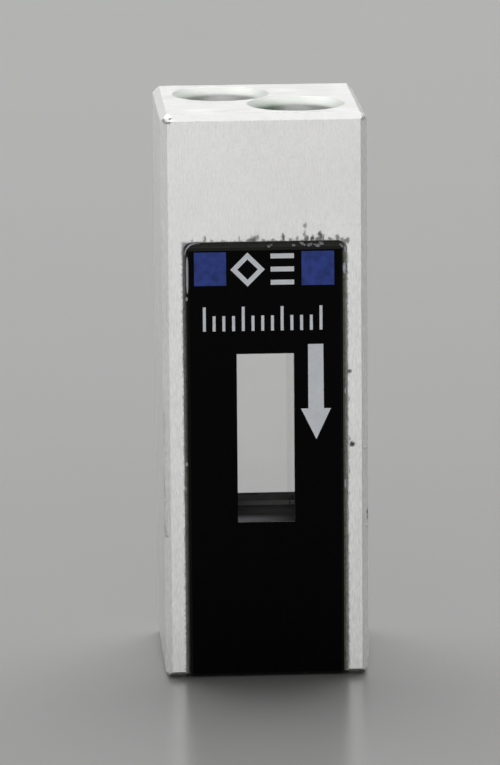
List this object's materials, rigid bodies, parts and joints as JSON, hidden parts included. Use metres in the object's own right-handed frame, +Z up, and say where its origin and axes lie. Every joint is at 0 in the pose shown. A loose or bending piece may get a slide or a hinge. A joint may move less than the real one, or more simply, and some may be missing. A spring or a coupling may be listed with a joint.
{
  "type": "flow-through cuvette",
  "caption": "Small upright flow-through cuvette: a black quartz cell with a tall clear window, bonded into a satin metal housing with threaded ports in its top.",
  "frame": {"origin": "middle of the base, on the surface that the cuvette stands on", "axes": "+Z up along the height, -Y out of the marked front, +X to the right as the front is seen; light passes along Y"},
  "size_m": [0.0126, 0.0126, 0.035],
  "materials": {
    "satin_aluminium": "satin, fine vertical brushing",
    "black_quartz": "opaque, polished",
    "clear_quartz": "clear, polished",
    "cured_adhesive": "clear to olive, glossy"
  },
  "bodies": {
    "root": {"housing": "satin_aluminium", "cell_body": "black_quartz", "front_window": "clear_quartz", "back_window": "clear_quartz", "adhesive_seam": "cured_adhesive"}
  },
  "joints": []
}
